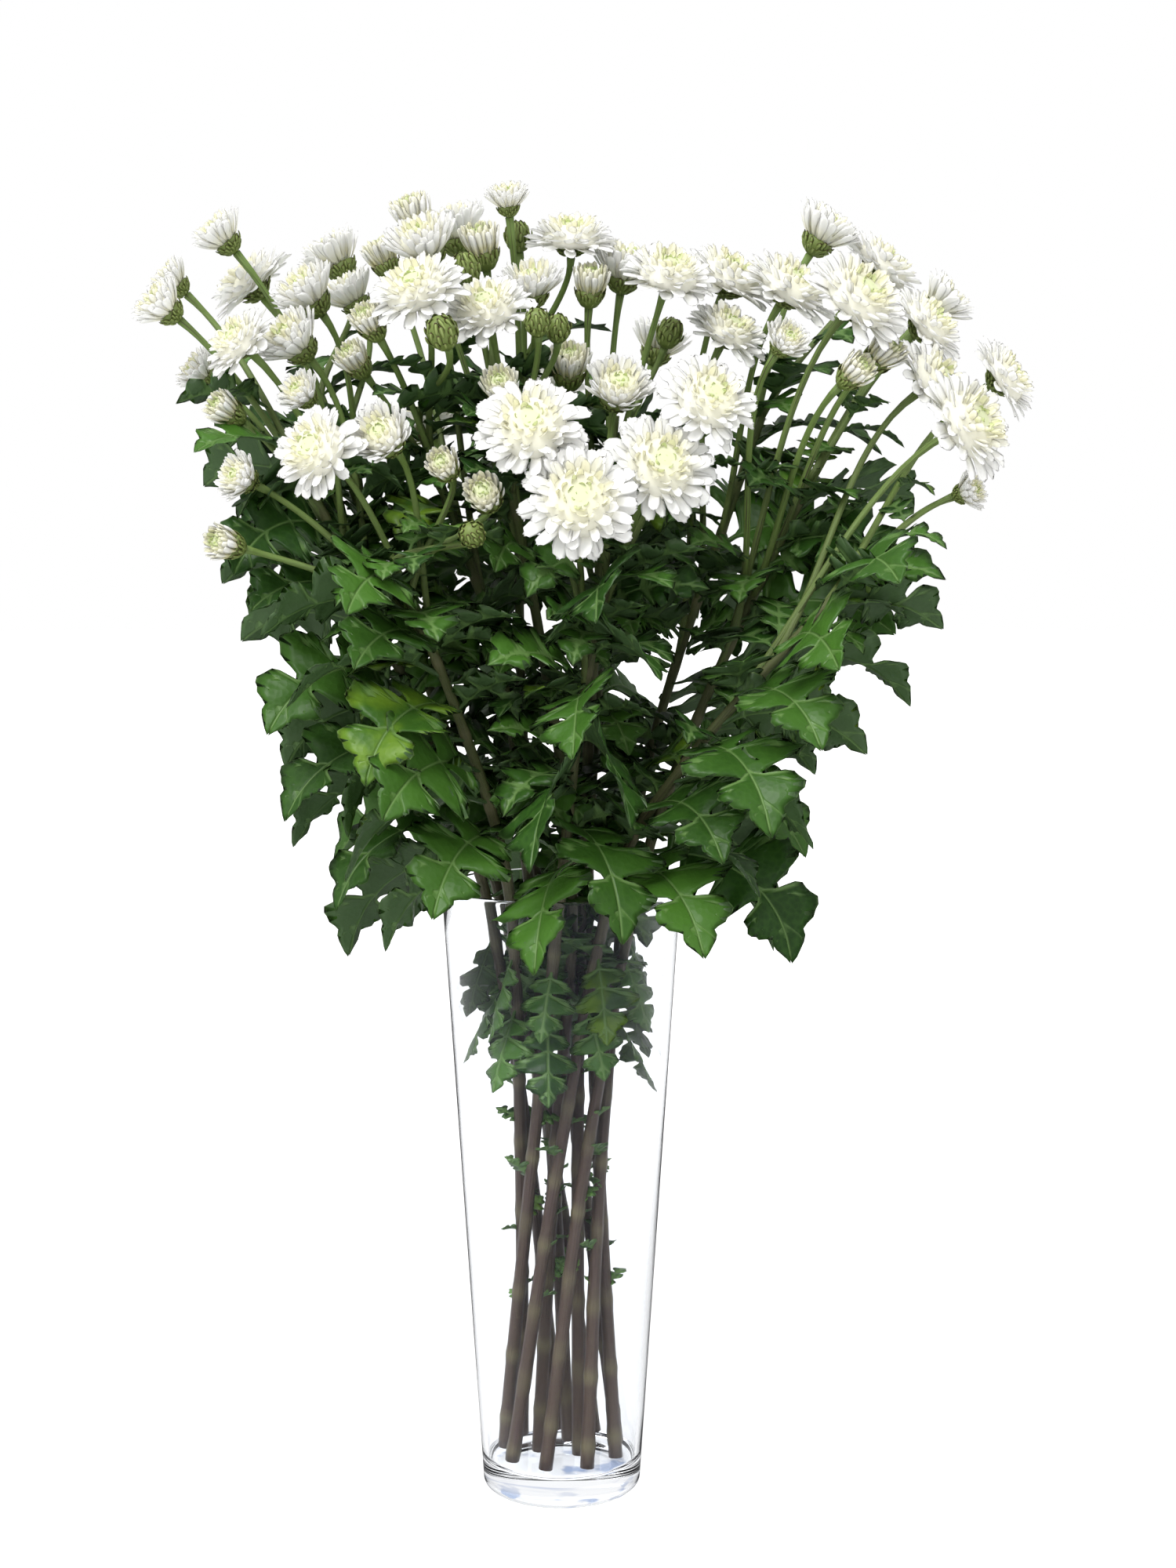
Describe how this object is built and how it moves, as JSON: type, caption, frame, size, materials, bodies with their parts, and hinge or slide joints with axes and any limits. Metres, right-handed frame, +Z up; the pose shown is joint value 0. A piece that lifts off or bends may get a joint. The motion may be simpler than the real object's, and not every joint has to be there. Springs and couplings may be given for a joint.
{
  "type": "popcorn aster in vase",
  "caption": "Bunch of white double spray chrysanthemums with lobed green leaves, standing in a tall tapered clear glass vase.",
  "frame": {"origin": "centre of the vase's flat underside", "axes": "+Z up along the vase; the bunch's front faces -Y, and +X is to the right as seen from the front"},
  "size_m": [0.4241, 0.2802, 0.6338],
  "materials": {
    "glass": "clear polished glass, thick at the foot",
    "petals": "soft matt white ray petals, cream towards the green centre",
    "foliage": "satin dark green leaves with paler veins and undersides",
    "stem": "ribbed stem, purple-brown below and olive green above",
    "bract": "olive calyx bracts with pale stripes and brown edges"
  },
  "bodies": {
    "root": {"bloom_back_1": "petals", "bloom_back_2": "petals", "bloom_back_3": "petals", "bloom_back_4": "petals", "bloom_back_5": "petals", "bloom_back_centre_1": "petals", "bloom_back_centre_2": "petals", "bloom_back_centre_3": "petals", "bloom_back_centre_4": "petals", "bloom_back_left_1": "petals", "bloom_back_left_2": "petals", "bloom_back_left_3": "petals", "bloom_back_left_4": "petals", "bloom_back_left_5": "petals", "bloom_back_right_1": "petals", "bloom_back_right_2": "petals", "bloom_back_right_3": "petals", "bloom_back_right_4": "petals", "bloom_back_right_5": "petals", "bloom_centre_1": "petals", "bloom_centre_2": "petals", "bloom_centre_left_1": "petals", "bloom_centre_left_2": "petals", "bloom_front_1": "petals", "bloom_front_2": "petals", "bloom_front_3": "petals", "bloom_front_4": "petals", "bloom_front_5": "petals", "bloom_front_left_1": "petals", "bloom_front_left_2": "petals", "bloom_front_left_3": "petals", "bloom_front_right_1": "petals", "bloom_front_right_2": "petals", "bloom_front_right_3": "petals", "bloom_front_right_4": "petals", "bloom_inner_left_1": "petals", "bloom_left_1": "petals", "bloom_left_2": "petals", "bloom_left_3": "petals", "bloom_left_4": "petals", "bloom_left_5": "petals", "bloom_left_6": "petals", "bloom_right_1": "petals", "bloom_right_2": "petals", "bloom_right_3": "petals", "bloom_right_4": "petals", "stem_back": "foliage", "stem_back_centre": "foliage", "stem_back_left": "foliage", "stem_back_right": "foliage", "stem_centre": "foliage", "stem_centre_left": "foliage", "stem_front": "foliage", "stem_front_left": "foliage", "stem_front_right": "foliage", "stem_inner_left": "foliage", "stem_left": "foliage", "stem_right": "foliage", "vase": "glass"}
  },
  "joints": []
}
